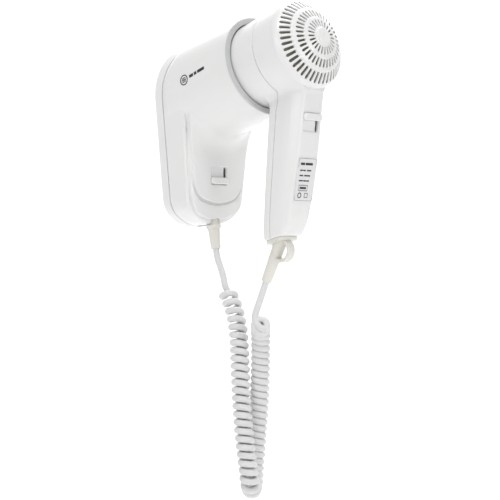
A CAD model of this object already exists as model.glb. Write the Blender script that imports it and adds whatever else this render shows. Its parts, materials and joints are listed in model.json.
"""Looks of the wall-mounted hair dryer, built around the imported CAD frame. Metres, same frame as the CAD."""
import json
import math

import bmesh
import bpy
import numpy as np
from mathutils import Matrix, Vector
from mathutils.bvhtree import BVHTree


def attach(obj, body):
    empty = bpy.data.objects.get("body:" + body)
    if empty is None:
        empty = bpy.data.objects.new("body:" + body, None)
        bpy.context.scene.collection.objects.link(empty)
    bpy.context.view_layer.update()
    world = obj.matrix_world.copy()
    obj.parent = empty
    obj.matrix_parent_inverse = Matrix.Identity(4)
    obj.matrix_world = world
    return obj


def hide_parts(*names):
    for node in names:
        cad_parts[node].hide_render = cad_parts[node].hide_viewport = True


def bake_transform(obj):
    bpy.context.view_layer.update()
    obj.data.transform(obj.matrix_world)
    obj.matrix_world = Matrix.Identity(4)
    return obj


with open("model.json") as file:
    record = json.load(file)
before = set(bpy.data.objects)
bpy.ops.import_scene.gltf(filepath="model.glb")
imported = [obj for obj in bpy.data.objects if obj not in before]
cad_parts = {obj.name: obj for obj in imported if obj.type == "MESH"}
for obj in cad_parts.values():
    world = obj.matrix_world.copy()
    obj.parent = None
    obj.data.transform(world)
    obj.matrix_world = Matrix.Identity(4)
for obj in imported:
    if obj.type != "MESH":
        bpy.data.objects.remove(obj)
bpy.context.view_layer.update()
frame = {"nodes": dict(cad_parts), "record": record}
nodes = frame["nodes"]
MM = 0.001
# level direction the camera looks in, and the level direction across it
TOWARD = (0.7005, 0.7137, 0.0)
ACROSS = (0.7137, -0.7005, 0.0)


# ---- camera -------------------------------------------------------------------------------------------
def add_camera():
    """Level camera on the front left, at about the height of the handle's foot."""
    data = bpy.data.cameras.new("camera")
    data.lens = 108.0
    data.sensor_width = 36.0
    data.clip_end = 20.0
    camera = bpy.data.objects.new("camera", data)
    camera.location = Vector((-0.9772, -1.0740, -0.1095))
    camera.rotation_euler = Vector(TOWARD).to_track_quat("-Z", "Y").to_euler()
    bpy.context.scene.collection.objects.link(camera)
    bpy.context.scene.camera = camera


add_camera()

# ---- cord ---------------------------------------------------------------------------------------------
CORD_R = 3.1 * MM
COIL_R = 6.1 * MM  # from the coil's middle to the cord's middle
START_PHASE = math.radians(90.0)
LOOP_TURN = math.radians(44.5)
LINE_STEP = 0.75 * MM


def loop_point(across, depth, z):
    """A point given across and along the level line that the cord's loop is turned to, in millimetres."""
    x = across * math.cos(LOOP_TURN) + depth * math.sin(LOOP_TURN)
    y = -78.5 - across * math.sin(LOOP_TURN) + depth * math.cos(LOOP_TURN)
    return Vector((x, y, z)) * MM


BASE_TAIL = [Vector(p) * MM for p in (
    (0, -32.16, -108.24), (0, -33.4, -116.0), (0, -38.6, -126.0), (0, -43.2, -136.0), (0, -44.8, -146.0))]
COIL_ROUTE = [loop_point(*p) for p in (
    (-23.7, 24.2, -146.0), (-18.2, 18.6, -156.0), (-13.2, 12.6, -171.0), (-10.4, 7.0, -190.0),
    (-9.4, 1.0, -218.0), (-7.8, -5.5, -251.0), (-5.0, -10.5, -286.0), (-2.2, -12.6, -308.0),
    (-0.4, -12.0, -324.0), (1.2, -4.8, -331.6), (2.6, 5.6, -331.4), (3.6, 12.4, -323.0),
    (4.6, 12.8, -307.0), (6.4, 10.0, -286.0), (8.9, 6.0, -251.0), (9.8, 2.0, -218.0),
    (10.0, -0.6, -200.0), (9.9, -3.6, -188.5), (9.7, -10.5, -179.6), (9.4, -19.0, -178.0))]
HANDSET_TAIL = [loop_point(*p) for p in (
    (15.0, -15.3, -138.0), (12.0, -15.7, -147.0), (8.2, -16.0, -158.5), (4.6, -15.6, -168.5),
    (2.6, -14.6, -176.0))]


def spline_points(points, steps):
    """Points along the smooth curve that has these control points."""
    curve = bpy.data.curves.new("route", "CURVE")
    curve.dimensions = "3D"
    curve.resolution_u = steps
    spline = curve.splines.new("NURBS")
    spline.points.add(len(points) - 1)
    for control, point in zip(spline.points, points):
        control.co = (*point, 1.0)
    spline.order_u = 3
    spline.use_endpoint_u = True
    route = bpy.data.objects.new("route", curve)
    bpy.context.scene.collection.objects.link(route)
    mesh = bpy.data.meshes.new_from_object(route)
    line = np.array([v.co[:] for v in mesh.vertices])
    bpy.data.objects.remove(route)
    return line


def evenly(line, step):
    """The same line with points a step apart."""
    along = np.concatenate([[0.0], np.cumsum(np.linalg.norm(np.diff(line, axis=0), axis=1))])
    marks = np.linspace(0.0, along[-1], max(2, int(round(along[-1] / step)) + 1))
    return np.stack([np.interp(marks, along, line[:, k]) for k in range(3)], axis=1)


def frames(line):
    """Tangents and two normals that turn as little as possible along a line."""
    tangent = np.gradient(line, axis=0)
    tangent /= np.linalg.norm(tangent, axis=1)[:, None]
    normal = np.zeros_like(line)
    seed = np.cross(tangent[0], [0.3, 1.0, 0.2])
    normal[0] = seed / np.linalg.norm(seed)
    for i in range(1, len(line)):
        n = normal[i - 1] - tangent[i] * np.dot(normal[i - 1], tangent[i])
        normal[i] = n / np.linalg.norm(n)
    return tangent, normal, np.cross(tangent, normal)


def bridge(p0, t0, p1, t1, count):
    """A smooth join from p0 heading t0 to p1 heading t1."""
    u = np.linspace(0.0, 1.0, count)[1:-1, None]
    h00, h10 = 2 * u ** 3 - 3 * u ** 2 + 1, u ** 3 - 2 * u ** 2 + u
    h01, h11 = -2 * u ** 3 + 3 * u ** 2, u ** 3 - u ** 2
    return h00 * p0 + h10 * t0 + h01 * p1 + h11 * t1


def cord_line():
    """Tail, curls and tail as one line of even steps."""
    route = evenly(spline_points(COIL_ROUTE, 24), 0.25 * MM)
    tangent, across, third = frames(route)
    along = np.linspace(0.0, 1.0, len(route))
    # the hanging weight opens the upper turns of the wall unit's strand
    # the other strand's turns nearly touch
    pitch = np.interp(along, [0.0, 0.05, 0.14, 0.44, 0.50, 0.56, 1.0],
                      [9.0, 8.6, 7.45, 7.35, 7.6, 6.35, 6.3]) * MM
    step = np.linalg.norm(np.diff(route, axis=0), axis=1)
    turned = np.concatenate([[0.0], np.cumsum(step / pitch[1:])]) * 2 * math.pi
    grow = np.clip(turned / (0.7 * 2 * math.pi), 0.0, 1.0)
    grow = grow * grow * (3 - 2 * grow)
    phase = START_PHASE - turned
    around = np.cos(phase)[:, None] * across + np.sin(phase)[:, None] * third
    curls = route + COIL_R * grow[:, None] * around
    first = evenly(spline_points(BASE_TAIL, 24), 0.5 * MM)
    # the handset's tail gives up its lowest 5 mm to the join
    last = evenly(spline_points(HANDSET_TAIL, 24), 0.5 * MM)[::-1][10:]
    span = np.linalg.norm(curls[-1] - last[0])
    out = curls[-1] - curls[-2]
    out = out / np.linalg.norm(out) * span
    into = last[1] - last[0]
    into = into / np.linalg.norm(into) * span
    join = bridge(curls[-1], out, last[0], into, 24)
    line = evenly(np.concatenate([first, curls[1:], join, last]), LINE_STEP)
    # ease the kinks where the lengths meet
    away = np.minimum(np.linalg.norm(line - first[-1], axis=1), np.linalg.norm(line - last[0], axis=1))
    ease = 0.5 * np.exp(-(away / (5.0 * MM)) ** 2)
    for _ in range(60):
        middle = 0.5 * (line[:-2] + line[2:])
        line[1:-1] += ease[1:-1, None] * (middle - line[1:-1])
    return evenly(line, LINE_STEP)


def tube_mesh(name, line, radius, sides):
    """A round tube along a line, with closed ends."""
    tangent, normal, third = frames(line)
    angle = np.linspace(0.0, 2 * math.pi, sides, endpoint=False)
    ring = np.cos(angle)[None, :, None] * normal[:, None] + np.sin(angle)[None, :, None] * third[:, None]
    points = (line[:, None] + radius * ring).reshape(-1, 3)
    faces = []
    for i in range(len(line) - 1):
        for j in range(sides):
            k = (j + 1) % sides
            faces.append((i * sides + j, i * sides + k, (i + 1) * sides + k, (i + 1) * sides + j))
    faces.append(tuple(range(sides))[::-1])
    faces.append(tuple((len(line) - 1) * sides + j for j in range(sides)))
    mesh = bpy.data.meshes.new(name)
    mesh.from_pydata(points.tolist(), [], faces)
    mesh.shade_smooth()
    piece = bpy.data.objects.new(name, mesh)
    bpy.context.scene.collection.objects.link(piece)
    return piece


cord_path = cord_line()
cord = tube_mesh("coiled_cord", cord_path, CORD_R, 14)


# ---- surfaces from a distance field -------------------------------------------------------------------
def sample(values, place):
    """Values of a grid at places given in grid steps, blended between its points."""
    limit = np.array(values.shape[:3]) - 1.001
    place = np.clip(place, 0.0, limit)
    cell = place.astype(int)
    share = place - cell
    total = 0.0
    for corner in np.ndindex(2, 2, 2):
        weight = np.prod(np.where(np.array(corner) == 1, share, 1.0 - share), axis=1)
        i, j, k = (cell + corner).T
        found = values[i, j, k]
        total = total + (weight[:, None] * found if found.ndim == 2 else weight * found)
    return total


def surface(name, field, origin, step, rounds=3):
    """A mesh where a field on a regular grid passes through zero, with one point in each cell it crosses."""
    inside = field < 0
    shape = np.array(field.shape) - 1
    count = np.zeros(shape, int)
    for i, j, k in np.ndindex(2, 2, 2):
        count += inside[i:i + shape[0], j:j + shape[1], k:k + shape[2]]
    cells = np.argwhere((count > 0) & (count < 8))
    index = np.full(shape, -1)
    index[tuple(cells.T)] = np.arange(len(cells))
    points = np.zeros((len(cells), 3))
    hits = np.zeros(len(cells))
    for axis in range(3):
        for side in np.ndindex(2, 2):
            start = np.insert(np.array(side), axis, 0)
            end = start.copy()
            end[axis] = 1
            a = field[tuple((cells + start).T)]
            b = field[tuple((cells + end).T)]
            cross = (a < 0) != (b < 0)
            share = np.where(cross, a / np.where(cross, a - b, 1.0), 0.0)
            spot = cells + start + share[:, None] * (end - start)
            points += np.where(cross[:, None], spot, 0.0)
            hits += cross
    points /= hits[:, None]
    quads = []
    for axis in range(3):
        after = inside.take(range(1, field.shape[axis]), axis)
        before = inside.take(range(0, shape[axis]), axis)
        edges = np.argwhere(after != before)
        u, v = (axis + 1) % 3, (axis + 2) % 3
        ok = np.ones(len(edges), bool)
        for other in (u, v):
            ok &= (edges[:, other] > 0) & (edges[:, other] < shape[other])
        edges = edges[ok]
        ring = []
        for du, dv in ((1, 1), (0, 1), (0, 0), (1, 0)):
            cell = edges.copy()
            cell[:, u] -= du
            cell[:, v] -= dv
            ring.append(index[tuple(cell.T)])
        ring = np.stack(ring, axis=1)
        outward = inside[tuple(edges.T)]
        quads.append(np.where(outward[:, None], ring, ring[:, ::-1]))
    quads = np.concatenate(quads)
    slope = np.stack(np.gradient(field), axis=-1)
    links = np.concatenate([quads[:, [0, 1]], quads[:, [1, 2]], quads[:, [2, 3]], quads[:, [3, 0]]])
    for _ in range(rounds):
        total = np.zeros_like(points)
        near = np.zeros(len(points))
        for a, b in (links.T, links.T[::-1]):
            for k in range(3):
                total[:, k] += np.bincount(a, points[b, k], len(points))
            near += np.bincount(a, minlength=len(points))
        drift = total / near[:, None] - points
        points = points + 0.6 * drift
        for _ in range(2):
            value = sample(field, points)
            uphill = sample(slope, points)
            push = value / np.maximum((uphill ** 2).sum(axis=1), 0.15 * step ** 2)
            points = points - np.clip(push, -0.6, 0.6)[:, None] * uphill
    mesh = bpy.data.meshes.new(name)
    mesh.from_pydata(((points * step + origin) * MM).tolist(), [], quads.tolist())
    mesh.shade_smooth()
    normals = sample(slope, points)
    normals /= np.maximum(np.linalg.norm(normals, axis=1), 1e-9)[:, None]
    mesh.normals_split_custom_set_from_vertices(normals.tolist())
    piece = bpy.data.objects.new(name, mesh)
    bpy.context.scene.collection.objects.link(piece)
    print("%s: %d faces" % (name, len(quads)))
    return piece


def grid(low, high, step):
    """Coordinates of a regular grid."""
    return np.meshgrid(*[np.arange(a, b + step, step) for a, b in zip(low, high)], indexing="ij")


def both(a, b, r):
    """Inside both: the larger distance, with the corner rounded."""
    h = np.clip(r - np.abs(a - b), 0.0, None) / r
    return np.maximum(a, b) + h * h * r * 0.25


def either(a, b, r):
    """Inside either: the smaller distance, with the inner corner filled to width r."""
    h = np.clip(r - np.abs(a - b), 0.0, None) / np.maximum(r, 1e-6)
    return np.minimum(a, b) - h * h * r * 0.25


def agreement(a, b):
    """How nearly two fields rise the same way, from -1 to 1."""
    ga, gb = np.gradient(a), np.gradient(b)
    dot = sum(p * q for p, q in zip(ga, gb))
    size = np.sqrt(sum(p * p for p in ga) * sum(q * q for q in gb))
    return dot / np.maximum(size, 1e-9)


def with_pocket(shell, form, x, rise, depth, floor):
    """A switch pocket cut in a shell: its recess, the slot along its right edge, and the wall behind it."""
    pocket = np.maximum(np.maximum(np.abs(x) - 9.75, np.abs(rise) - 8.5), depth - 1.6)
    slot = np.maximum(np.maximum(np.abs(x - 8.3) - 1.1, np.abs(rise) - 7.5), depth - 12.0)
    backing = np.maximum(np.maximum(np.abs(x) - 11.3, np.abs(rise) - 10.0), np.maximum(depth - floor, form))
    return np.maximum(np.minimum(shell, backing), -np.minimum(pocket, slot))


# ---- moulded cover of the wall unit -------------------------------------------------------------------
HEAD = (0.0, -155.8, 75.8)
TILT = math.radians(15.0)


def head_coordinates(x, y, z):
    """Distance along the head's axis and distance from it."""
    along = -(y - HEAD[1]) * math.cos(TILT) + (z - HEAD[2]) * math.sin(TILT)
    up = (y - HEAD[1]) * math.sin(TILT) + (z - HEAD[2]) * math.cos(TILT)
    return along, np.hypot(x, up)


def outline_distance(x, z):
    """Distance outside the wall unit's front outline: round top, drafted sides, corner arcs, bottom arc."""
    draft = math.radians(5.87)
    nx, nz = math.cos(draft), -math.sin(draft)
    side = 48.7 + nz * 37.0
    cz = -41.0
    for _ in range(60):
        cx = (side - 24.0 - nz * cz) / nx
        cz = -41.0 - math.sqrt(23.0 ** 2 - cx * cx)
    ax, az = cx / 23.0, (cz + 41.0) / 23.0
    x = np.abs(x)
    top = np.hypot(x, z - 37.0) - 48.7
    flank = x * nx + z * nz - side
    corner = np.hypot(x - cx, z - cz) - 24.0
    bottom = np.hypot(x, z + 41.0) - 47.0
    above = (z - 37.0) * nx - x * nz > 0
    below = (z - cz) * nx - (x - cx) * nz < 0
    past = (z < -41.0) & (x * az - (z + 41.0) * ax > 0)
    return np.where(above, top, np.where(below, np.where(past, bottom, corner), flank))


def tongue_distance(x, z, half, corner_z, bottom, corner, close_in):
    """Distance outside a U-shaped pad: sides that close in, rounded corners, slightly arched bottom."""
    side = ((np.abs(x) - half) - close_in * (z - corner_z)) / math.hypot(1.0, close_in)
    rise = corner_z - bottom
    r = (half ** 2 + rise ** 2) / (2 * rise)
    centre = bottom + r
    low = np.where(z < centre, np.hypot(x, z - centre), np.abs(x)) - r
    return both(side, np.where(z < centre - 0.5 * r, low, -r), corner)


def cover():
    """Body, U-shaped pads and barrel in one hollow moulding, with the switch pocket and the collar's hole."""
    step = 0.9
    low = (-51.0, -114.0, -92.0)
    x, y, z = grid(low, (51.0, -6.0, 109.0), step)
    seam = -9.0

    def face(level):
        return (level - 0.03 * (z + 52.0)) - y

    outline = outline_distance(x, z)
    flank = outline + 0.9 + 0.0804 * (seam - y)
    # the flank's ridge, a shallow valley inside it, then the pad and the panel, one on the other
    valley = 1.8 * np.exp(-((flank + 4.2) / 2.6) ** 2) * np.clip((z + 84.0) / 20.0, 0.0, 1.0)
    body = both(flank, face(-32.6) + valley, 3.0)
    pad_edge = np.maximum(tongue_distance(x, z, 31.4, -71.0, -80.6, 12.0, 0.103), flank + 1.0)
    panel_edge = np.maximum(tongue_distance(x, z, 29.2, -56.0, -64.9, 10.0, 0.165), flank + 1.0)
    pad_round = 1.0 + 3.0 * np.clip((z + 66.0) / 20.0, 0.0, 1.0)
    body = np.minimum(body, both(pad_edge, face(-34.8), pad_round))
    # shadow line under the panel's lower end, fading up its sides
    fade = 1.6 * np.clip((z + 56.0) / 24.0, 0.0, 1.0)
    groove = np.maximum(np.abs(panel_edge - 1.0) - 1.0, fade - face(-32.6))
    body = np.maximum(body, -groove)
    body = np.minimum(body, both(panel_edge, face(-36.7), 0.9))
    along, out = head_coordinates(x, y, z)
    barrel = out - (46.4 + 0.0393 * (-60.8 - along))
    barrel = both(barrel, outline + 0.9 - 0.75 * (seam - y), 5.0)
    # a broad fillet under the barrel, which dies out towards the outline beside it
    reach = np.maximum(np.clip(-flank / 14.0, 0.0, 1.0), np.clip((20.0 - z) / 18.0, 0.0, 1.0))
    width = (3.0 + 19.0 * reach) * np.clip(1.0 - agreement(body, barrel), 0.0, 1.0)
    form = either(body, barrel, width)
    shell = np.maximum(np.maximum(form, along + 62.8), y - seam)
    shell = np.maximum(shell, -(form + 2.4))
    # wall round the notch of the cover screw
    notch = np.hypot(x, y + 15.6)
    post = np.maximum(np.maximum(notch - 8.2, z + 82.3), np.maximum(form, y - seam))
    shell = np.minimum(shell, post)
    shell = np.maximum(shell, -np.maximum(notch - 6.4, z + 84.5))
    tilted = y - (-36.7 - 0.03 * (z + 52.0))
    shell = with_pocket(shell, form, x, z + 39.0, tilted, 3.3)
    # hole of the collar
    lean = math.radians(9.0)
    hole = np.hypot(x, (y + 28.8) * math.cos(lean) - (z + 87.0) * math.sin(lean)) - 5.5
    shell = np.maximum(shell, -np.maximum(hole, z + 74.0))
    return surface("moulded_cover", shell, np.array(low), step)


cover_piece = cover()


# ---- handset shells -----------------------------------------------------------------------------------
SHAFT = ((48.0, -119.0, -162.4, 1.0), (16.0, -115.8, -158.2, 1.0), (-15.0, -113.3, -154.3, 1.0),
         (-40.0, -111.3, -150.4, 0.99), (-64.0, -109.4, -145.9, 0.98), (-84.0, -107.8, -141.0, 0.95))
SKIN = 2.2
NOZZLE_S = -84.0  # outlet's end, along the head's axis
FOOT_BORE = 5.0  # radius of the hole for the handset's strain relief


def with_foot_hole(shell, x, y, z):
    """The hole in the handle's foot, cut in a shell."""
    return np.maximum(shell, -np.maximum(np.hypot(x, y + 120.4) - FOOT_BORE, z + 90.0))


def head_distance(along, out):
    """Distance outside the head: dome, round shoulder and slightly narrowing barrel."""
    cone = out - (41.8 + 0.02086 * (along + 7.3))
    shoulder = np.hypot(out - 31.8, along + 7.3) - 10.0
    dome = np.hypot(out, along + 37.1) - 53.6
    past = out * 29.8 < (along + 37.1) * 31.8
    return np.where(along < -7.3, cone, np.where(past, dome, shoulder))


def shaft_value(z, column):
    """One of the handle's section sizes at height z, on a smooth curve through its sections."""
    heights = np.array([row[0] for row in SHAFT])
    fit = np.polyfit(heights, [row[column] for row in SHAFT], 3)
    return np.polyval(fit, z)


def handle_distance(x, y, z):
    """Distance outside the handle: eight faces with rounded corners, and a foot that draws in."""
    x = np.abs(x)
    front, rear, scale = (shaft_value(z, column) for column in (1, 2, 3))
    wide, flat, front_flat = 17.6 * scale, 13.2 * scale, 11.0 * scale
    bevel = 12.0 * np.minimum(1.0, (front - rear) / 41.0)
    reach = np.hypot(bevel, wide - flat)
    rear_bevel = ((x - flat) * bevel - (y - rear) * (wide - flat)) / reach
    reach = np.hypot(5.0, wide - front_flat)
    front_bevel = ((x - front_flat) * 5.0 + (y - front) * (wide - front_flat)) / reach
    sides = both(both(x - wide, rear_bevel, 2.6), both(front_bevel, y - front, 3.5), 2.6)
    sides = both(sides, rear - y, 2.6)
    # the foot: the rear face runs forward, front and flanks draw in, and the underside rises to the rear
    heel = -(y + 142.3) * 0.814 - (z + 84.0) * 0.581
    toe = (y + 107.6) * 0.91 - (z + 97.0) * 0.41
    cheek = (x - 16.6) * 0.963 - (z + 93.0) * 0.27
    under = (-102.0 - 0.242 * (y + 109.0) - z) * 0.972
    foot = both(both(heel, toe, 4.0), cheek, 2.5)
    return both(both(both(sides, foot, 4.0), under, 1.6), z - 48.0, 2.0)


def parting(y, z):
    """Signed distance to the shells' parting line in side view, positive on the nozzle's side."""
    corners = []
    for along, up in ((-33.4, 90.0), (-33.4, -36.0)):
        corners.append((HEAD[1] - along * math.cos(TILT) + up * math.sin(TILT),
                        HEAD[2] + along * math.sin(TILT) + up * math.cos(TILT)))
    corners += [(-129.0, 14.0), (-117.6, -112.0)]
    best = np.full(y.shape, 1e9)
    signed = np.zeros(y.shape)
    for (y0, z0), (y1, z1) in zip(corners, corners[1:]):
        length = math.hypot(y1 - y0, z1 - z0)
        ty, tz = (y1 - y0) / length, (z1 - z0) / length
        share = np.clip((y - y0) * ty + (z - z0) * tz, 0.0, length)
        gap = np.hypot(y - y0 - share * ty, z - z0 - share * tz)
        side = (z - z0) * ty - (y - y0) * tz
        closer = gap < best
        best = np.where(closer, gap, best)
        signed = np.where(closer, np.where(side > 0, gap, -gap), signed)
    return signed


def handset_form(x, y, z):
    """Head and handle, softly joined at the neck."""
    along, out = head_coordinates(x, y, z)
    head = head_distance(along, out)
    handle = handle_distance(x, y, z)
    width = 9.0 * np.clip(1.0 - agreement(head, handle), 0.0, 1.0)
    return either(head, handle, width), along, out


def front_shell():
    """The nozzle's side of the handset."""
    step = 0.85
    low = (-44.0, -136.0, -104.0)
    x, y, z = grid(low, (44.0, -62.0, 108.0), step)
    form, along, out = handset_form(x, y, z)
    shell = np.maximum(form, np.where(out < 60.0, NOZZLE_S - along, -9.0))
    shell = np.maximum(shell, -(form + SKIN))
    # bosses and recesses of the two screws
    for height in (-30.0, -84.0):
        ring = np.hypot(x, z - height)
        depth = shaft_value(z, 1) - y
        boss = np.maximum(np.maximum(ring - 4.2, depth - 12.5), form)
        shell = np.maximum(np.minimum(shell, boss), -np.maximum(ring - 3.2, depth - 4.7))
    shell = with_foot_hole(shell, x, y, z)
    shell = np.maximum(shell, 0.15 - parting(y, z))
    return surface("front_moulding", shell, np.array(low), step)


def rear_shell():
    """The other side: head behind the seam, and the handle's back with the switch pocket."""
    step = 0.85
    low = (-44.0, -176.0, -104.0)
    x, y, z = grid(low, (44.0, -104.0, 124.0), step)
    form, along, _ = handset_form(x, y, z)
    # slips under the dome's skin
    form = form + 0.2 * np.clip((along + 9.0) / 3.0, 0.0, 1.0)
    shell = np.maximum(form, -(form + SKIN - 0.3))
    shell = np.maximum(shell, along + 6.0)
    shell = with_pocket(shell, form, x, z - 4.5, y - shaft_value(z, 2), 3.2)
    shell = with_foot_hole(shell, x, y, z)
    shell = np.maximum(shell, 0.15 + parting(y, z))
    return surface("rear_moulding", shell, np.array(low), step)


def inlet_dome():
    """Dome with three rings of slots and a round button, drawn about the head's axis."""
    step = 0.5
    low = (-43.0, -43.0, -9.0)
    x, up, along = grid(low, (43.0, 43.0, 18.5), step)
    out = np.hypot(x, up)
    turn = np.arctan2(up, x)
    form = head_distance(along, out)
    shell = np.maximum(form, -(form + SKIN))
    button = both(out - 8.3, along - 17.3, 1.4)
    dimple = 3.0 - np.hypot(out, along - 19.6)
    button = both(np.maximum(button, 12.0 - along), dimple, 0.6)
    shell = np.minimum(shell, button)
    for count, near, far, wide in ((44, 30.6, 38.6, 2.7), (36, 20.0, 27.0, 2.2), (24, 9.8, 16.6, 1.7)):
        folded = (turn * count / (2 * math.pi) + 0.5) % 1.0 - 0.5
        folded = folded * 2 * math.pi / count
        ahead, aside = out * np.cos(folded), np.abs(out * np.sin(folded))
        narrow = wide * (near / far) ** 0.7
        half = narrow / 2 + (wide - narrow) / 2 * (ahead - near) / (far - wide / 2 - near)
        tip = np.hypot(ahead - far + wide / 2, aside) - wide / 2
        side = np.where(ahead > far - wide / 2, tip, aside - half)
        slot = np.maximum(side, near - ahead)
        shell = both(shell, -slot, 0.5)
    shell = np.maximum(shell, -8.6 - along)
    piece = surface("inlet_dome", shell, np.array(low), step)
    place = Matrix.Translation(Vector(HEAD) * MM) @ Matrix.Rotation(math.pi / 2 - TILT, 4, "X")
    piece.data.transform(place)
    return piece


front_piece = front_shell()
rear_piece = rear_shell()
dome_piece = inlet_dome()


# ---- print on the barrel and on the label --------------------------------------------------------------
def printed(name, strokes, lay):
    """Thin raised print: each stroke is a line of some width on a flat drawing, laid on a surface."""
    points, faces = [], []
    for line, width, closed in strokes:
        line = np.array(line, float)
        ahead = np.roll(line, -1, 0) - np.roll(line, 1, 0) if closed else np.gradient(line, axis=0)
        ahead /= np.linalg.norm(ahead, axis=1)[:, None]
        side = np.stack([-ahead[:, 1], ahead[:, 0]], axis=1) * width / 2
        first, count = len(points), len(line)
        for left, right in zip(line + side, line - side):
            for spot in (left, right):
                place, normal = lay(*spot)
                points += [place + normal * 0.10 * MM, place - normal * 0.10 * MM]
        for i in range(count if closed else count - 1):
            p, q = first + 4 * i, first + 4 * ((i + 1) % count)
            faces += [(p, q, q + 2, p + 2), (p + 3, q + 3, q + 1, p + 1), (p + 1, q + 1, q, p),
                      (p + 2, q + 2, q + 3, p + 3)]
        if not closed:
            last = first + 4 * (count - 1)
            faces += [(first, first + 2, first + 3, first + 1), (last + 1, last + 3, last + 2, last)]
    mesh = bpy.data.meshes.new(name)
    mesh.from_pydata([tuple(p) for p in points], [], faces)
    fix = bmesh.new()
    fix.from_mesh(mesh)
    bmesh.ops.recalc_face_normals(fix, faces=fix.faces)
    fix.to_mesh(mesh)
    fix.free()
    piece = bpy.data.objects.new(name, mesh)
    bpy.context.scene.collection.objects.link(piece)
    return piece


def straight(u0, v0, u1, v1, count=8):
    """Points along a straight stroke."""
    return np.stack([np.linspace(u0, u1, count), np.linspace(v0, v1, count)], axis=1)


def oval(u, v, wide, high, count=40):
    """Points round an oval."""
    angle = np.linspace(0, 2 * math.pi, count, endpoint=False)
    return np.stack([u + wide * np.cos(angle), v + high * np.sin(angle)], axis=1)


def badge():
    """A ring with three wavy lines of air and a slim rising stripe, on the barrel's left flank."""
    tree = BVHTree.FromPolygons([v.co for v in cover_piece.data.vertices],
                                [p.vertices for p in cover_piece.data.polygons])
    rise = math.radians(20.0)

    def lay(u, v):
        across = u * math.cos(rise) - v * math.sin(rise)
        up = u * math.sin(rise) + v * math.cos(rise)
        start = Vector((-120.0, -40.6 - across, 47.8 + up)) * MM
        place, normal, _, _ = tree.ray_cast(start, Vector((1, 0, 0)))
        return place, normal

    strokes = [(oval(0, 0, 4.5, 4.5), 1.05, True)]
    for level in (-1.6, 0.0, 1.6):
        reach = math.sqrt(2.9 ** 2 - level ** 2)
        u = np.linspace(-reach, reach, 24)
        strokes.append((np.stack([u, level + 0.4 * np.sin(u * 2.2)], axis=1), 0.85, False))
    for start, end in ((7.4, 12.6), (13.8, 17.2), (18.4, 27.5)):
        strokes.append((straight(start, 0.0, end, 0.0, 24), 2.9, False))
    return printed("badge_print", strokes, lay)


def label_print():
    """Thin frame, plain bars in rows, a framed bar and two simple shapes: print that says nothing."""
    def lay(u, v):
        z = -27.0 - v
        return Vector((u, shaft_value(z, 2) - 0.35, z)) * MM, Vector((0.0, -1.0, -0.12)).normalized()

    border = []  # closed line round the label
    for u, v, start in ((9.6, 2.4, -90), (9.6, 36.6, 0), (-9.6, 36.6, 90), (-9.6, 2.4, 180)):
        for turn in range(0, 91, 15):
            angle = math.radians(start + turn)
            border.append((u + 1.6 * math.cos(angle), v + 1.6 * math.sin(angle)))
    strokes = [(border, 0.22, True)]
    rows = ((5.6, 2.1, (-8.6, -3.4, -2.4, 6.8)), (11.4, 1.2, (-8.6, -5.4, -4.7, -1.5, 0.2, 5.6)),
            (16.0, 1.2, (-8.6, -4.2, -2.6, 4.9)), (20.6, 1.2, (-8.6, -3.6, -2.9, 0.4, 1.1, 4.3)))
    for v, width, ends in rows:
        for u0, u1 in zip(ends[::2], ends[1::2]):
            strokes.append((straight(u0, v, u1, v), width, False))
    box = [(-7.8, 24.6), (3.4, 24.6), (3.4, 29.4), (-7.8, 29.4)]
    strokes.append((box, 0.5, True))
    strokes.append((straight(-6.4, 27.0, 1.8, 27.0), 1.9, False))
    strokes.append((oval(-5.6, 33.6, 2.1, 2.1, 28), 0.8, True))
    strokes.append(([(0.9, 31.6), (4.7, 31.6), (4.7, 35.4), (0.9, 35.4)], 0.7, True))
    return printed("label_print", strokes, lay)


badge_piece = badge()
print_piece = label_print()


# ---- materials ----------------------------------------------------------------------------------------
def plastic(name, color, rough, grain, bump, coat=0.0, spread=0.02):
    """Moulded plastic: faint mottling of colour and gloss, and a fine surface texture."""
    material = bpy.data.materials.new(name)
    material.use_nodes = True
    tree = material.node_tree
    shader = tree.nodes["Principled BSDF"]
    place = tree.nodes.new("ShaderNodeTexCoord")

    def noise(scale, detail):
        node = tree.nodes.new("ShaderNodeTexNoise")
        node.inputs["Scale"].default_value = scale
        node.inputs["Detail"].default_value = detail
        tree.links.new(place.outputs["Object"], node.inputs["Vector"])
        return node.outputs["Fac"]

    def ramp(source, low, high):
        node = tree.nodes.new("ShaderNodeMapRange")
        node.inputs["From Min"].default_value = 0.0
        node.inputs["From Max"].default_value = 1.0
        node.inputs["To Min"].default_value = low
        node.inputs["To Max"].default_value = high
        tree.links.new(source, node.inputs["Value"])
        return node.outputs["Result"]

    tint = tree.nodes.new("ShaderNodeMix")
    tint.data_type = "RGBA"
    tint.inputs["A"].default_value = (*[c * (1 - spread) for c in color], 1)
    tint.inputs["B"].default_value = (*[min(1.0, c * (1 + spread)) for c in color], 1)
    tree.links.new(ramp(noise(22.0, 4.0), 0.0, 1.0), tint.inputs["Factor"])
    tree.links.new(tint.outputs["Result"], shader.inputs["Base Color"])
    tree.links.new(ramp(noise(60.0, 3.0), rough * 0.96, rough * 1.04), shader.inputs["Roughness"])
    relief = tree.nodes.new("ShaderNodeBump")
    relief.inputs["Strength"].default_value = bump
    relief.inputs["Distance"].default_value = 0.0002
    tree.links.new(noise(grain, 2.0), relief.inputs["Height"])
    tree.links.new(relief.outputs["Normal"], shader.inputs["Normal"])
    shader.inputs["Coat Weight"].default_value = coat
    shader.inputs["Coat Roughness"].default_value = 0.12
    return material


def metal(name, color, rough):
    """Plated or drawn metal with fine streaks."""
    material = plastic(name, color, rough, 900.0, 0.15, spread=0.06)
    material.node_tree.nodes["Principled BSDF"].inputs["Metallic"].default_value = 1.0
    return material


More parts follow.
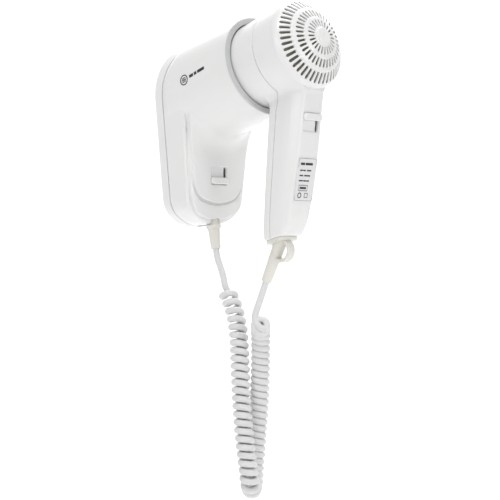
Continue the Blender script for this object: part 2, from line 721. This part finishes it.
white = plastic("white_abs", (0.86, 0.86, 0.855), 0.26, 1400.0, 0.05, coat=0.35, spread=0.008)
rim_grey = plastic("grey_rim", (0.58, 0.585, 0.59), 0.34, 1400.0, 0.06, spread=0.03)
grey = plastic("grey_plastic", (0.30, 0.285, 0.235), 0.55, 900.0, 0.15, spread=0.05)
ivory = plastic("ivory_pvc", (0.80, 0.785, 0.73), 0.42, 900.0, 0.12, spread=0.02)
cord_white = plastic("cord_pvc", (0.76, 0.76, 0.765), 0.40, 1100.0, 0.10, spread=0.015)
film = plastic("label_film", (0.82, 0.82, 0.82), 0.35, 1500.0, 0.05, spread=0.01)
print_ink = plastic("print_ink", (0.03, 0.03, 0.032), 0.5, 1500.0, 0.06, spread=0.10)
cream = plastic("cream_plastic", (0.72, 0.68, 0.55), 0.5, 900.0, 0.1)
wire = plastic("wire_pvc", (0.30, 0.14, 0.07), 0.45, 900.0, 0.1)
mica = plastic("mica", (0.46, 0.36, 0.22), 0.6, 500.0, 0.3, spread=0.1)
board = plastic("board", (0.10, 0.22, 0.09), 0.5, 800.0, 0.2, spread=0.05)
steel = metal("steel", (0.62, 0.63, 0.64), 0.34)
motor_steel = metal("motor_steel", (0.36, 0.37, 0.39), 0.38)
heater_wire = metal("heater_wire", (0.30, 0.29, 0.28), 0.45)
nickel = metal("nickel", (0.50, 0.49, 0.46), 0.36)
LOOKS = {
    "white_abs": white, "grey_rim": rim_grey, "grey_plastic": grey, "ivory_pvc": ivory,
    "cord_pvc": cord_white, "badge_ink": print_ink, "label_film": film, "steel": steel,
    "cream_plastic": cream, "wire_pvc": wire, "motor_steel": motor_steel, "mica": mica,
    "heater_wire": heater_wire, "nickel": nickel, "board": board,
}


def paint(piece, material):
    """Give a piece its one material."""
    piece.data.materials.clear()
    piece.data.materials.append(material)


for part in frame["record"]["subparts"]:
    paint(nodes[part["node"]], LOOKS[part["material_slot"]])
paint(cord, cord_white)
for piece, node, body in ((cover_piece, "front_cover", "wall_unit"), (front_piece, "front_shell", "handset"),
                          (rear_piece, "rear_shell", "handset"), (dome_piece, "rear_shell", "handset")):
    paint(piece, white)
    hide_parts(node)
    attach(piece, body)

paint(badge_piece, print_ink)
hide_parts("barrel_badge")
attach(badge_piece, "wall_unit")
paint(print_piece, print_ink)
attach(print_piece, "handset")

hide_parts("base_cord_tail", "curly_cord", "handset_cord_tail")
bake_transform(cord)


# ---- stage and light ----------------------------------------------------------------------------------
def sweep():
    """Floor that curves up into a backdrop, one pale sheet."""
    toward, side = np.array(TOWARD), np.array(ACROSS)
    profile = [(-2.6, -0.62)] + [(1.4 + 0.9 * math.sin(a), 0.28 - 0.9 * math.cos(a))
                                 for a in np.linspace(0, math.pi / 2, 16)] + [(2.3, 3.4)]
    points, faces = [], []
    for distance, z in profile:
        for across in (-3.5, 3.5):
            points.append((toward * distance + side * across + np.array([0, 0, z])).tolist())
    for i in range(len(profile) - 1):
        faces.append((2 * i, 2 * i + 1, 2 * i + 3, 2 * i + 2))
    mesh = bpy.data.meshes.new("backdrop")
    mesh.from_pydata(points, [], faces)
    mesh.shade_smooth()
    piece = bpy.data.objects.new("backdrop", mesh)
    bpy.context.scene.collection.objects.link(piece)
    paint(piece, plastic("paper", (0.93, 0.93, 0.93), 0.8, 300.0, 0.02, spread=0.002))
    return piece


sweep()


def softbox(name, place, aim, size, power):
    """A square area light that faces a point."""
    data = bpy.data.lights.new(name, "AREA")
    data.shape = "SQUARE"
    data.size = size
    data.energy = power
    light = bpy.data.objects.new(name, data)
    light.location = place
    light.rotation_euler = (Vector(aim) - Vector(place)).to_track_quat("-Z", "Y").to_euler()
    bpy.context.scene.collection.objects.link(light)


MIDDLE = (0.0, -0.08, -0.05)
softbox("key", (-0.6, -0.6, 1.5), MIDDLE, 0.7, 8.0)
softbox("front", (0.1, -1.8, 0.2), MIDDLE, 0.9, 5.2)
softbox("left", (-1.7, -0.1, 0.4), MIDDLE, 0.8, 4.0)
softbox("back", (1.2, 0.6, 2.2), (1.7, 1.7, 0.0), 1.6, 55.0)
world = bpy.data.worlds.new("world")
bpy.context.scene.world = world
world.use_nodes = True
world.node_tree.nodes["Background"].inputs["Color"].default_value = (1.0, 1.0, 1.0, 1)
world.node_tree.nodes["Background"].inputs["Strength"].default_value = 0.54
bpy.context.scene.view_settings.view_transform = "Standard"
